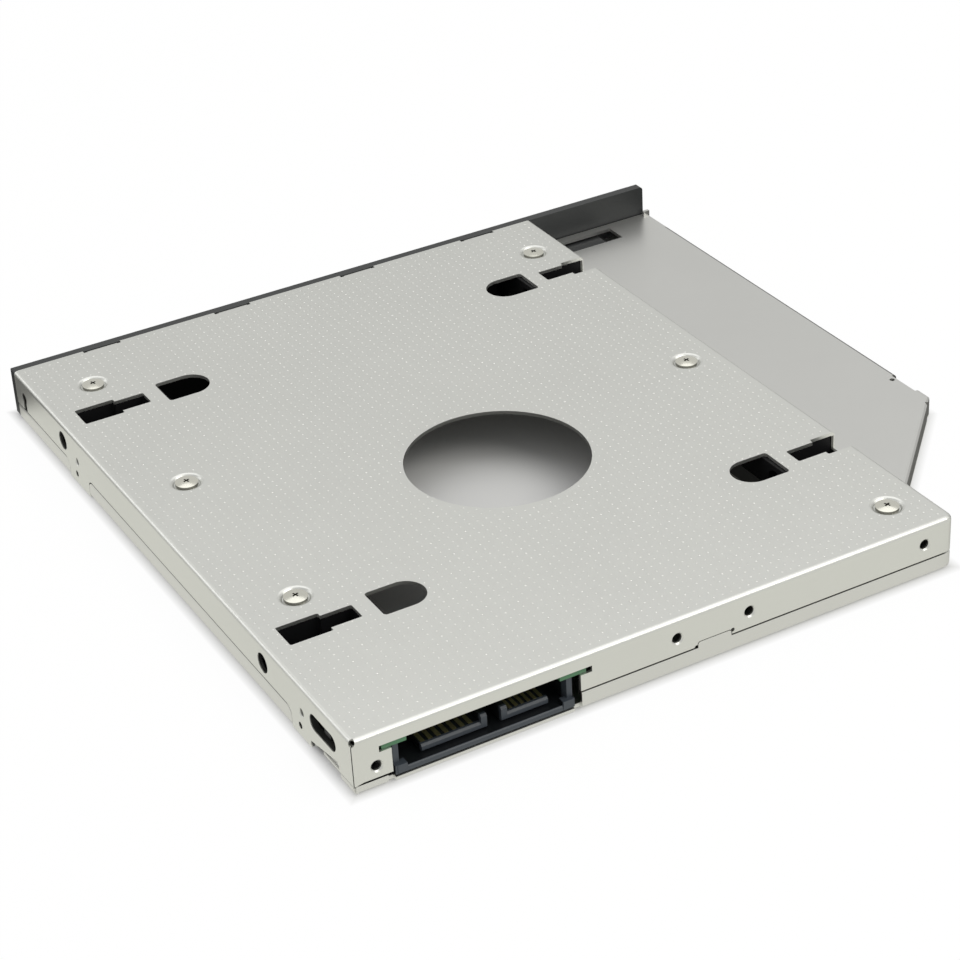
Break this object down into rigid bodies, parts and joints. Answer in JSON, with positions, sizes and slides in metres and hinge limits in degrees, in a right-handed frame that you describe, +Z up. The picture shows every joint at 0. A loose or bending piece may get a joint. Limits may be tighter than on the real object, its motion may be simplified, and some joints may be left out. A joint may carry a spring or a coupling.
{
  "type": "optical bay caddy for a solid state drive",
  "caption": "Slim metal caddy that carries a laptop-size solid state drive in an optical drive bay, with a serial ATA plug, a side wing and a faceplate.",
  "frame": {"origin": "middle of the underside of the whole caddy, faceplate and wing included", "axes": "+X along the rear wall towards the wing, +Y from the rear wall to the faceplate, +Z up through the dotted base shell"},
  "size_m": [0.1282, 0.1284, 0.0092],
  "materials": {
    "dotted_shell": "satin warm grey with a grid of fine raised dots, glossy at the folds",
    "plain_sheet": "smooth satin grey",
    "faceplate_plastic": "matt dark grey",
    "black_nylon": "matt black",
    "green_laminate": "glossy green solder mask",
    "slate_plastic": "matt slate grey",
    "gold_plate": "thin dull gold plating",
    "nickel_steel": "bright nickel plating",
    "brass_insert": "plain machined",
    "ceramic_tan": "fired ceramic",
    "resistor_black": "glazed black",
    "switch_knob": "matt black"
  },
  "bodies": {
    "caddy": {"base_shell": "dotted_shell", "bottom_cover": "plain_sheet", "wing_plate": "plain_sheet", "left_rail": "black_nylon", "right_rail": "black_nylon", "front_bar": "black_nylon", "adaptor_board": "green_laminate", "plug_housing": "slate_plastic", "plug_signal_contacts": "gold_plate", "plug_power_contacts": "gold_plate", "plug_hold_downs": "nickel_steel", "socket_housing": "black_nylon", "socket_signal_contacts": "gold_plate", "socket_power_contacts": "gold_plate", "socket_hold_downs": "nickel_steel", "case_screws": "nickel_steel", "thread_inserts": "brass_insert", "board_screws": "nickel_steel", "board_weld_nuts": "nickel_steel", "board_capacitors": "ceramic_tan", "board_resistors": "resistor_black", "switch_body": "black_nylon", "switch_terminals": "nickel_steel"},
    "front_panel": {"faceplate": "faceplate_plastic"},
    "mode_slider": {"switch_slider": "switch_knob"}
  },
  "joints": [
    {"name": "faceplate_pull_off", "type": "slide", "parent": "caddy", "child": "front_panel", "axis": [0, 1, 0], "range_m": [0, 0.012]},
    {"name": "mode_switch_slide", "type": "slide", "parent": "caddy", "child": "mode_slider", "axis": [0, 1, 0], "range_m": [-0.0015, 0.0015]}
  ]
}
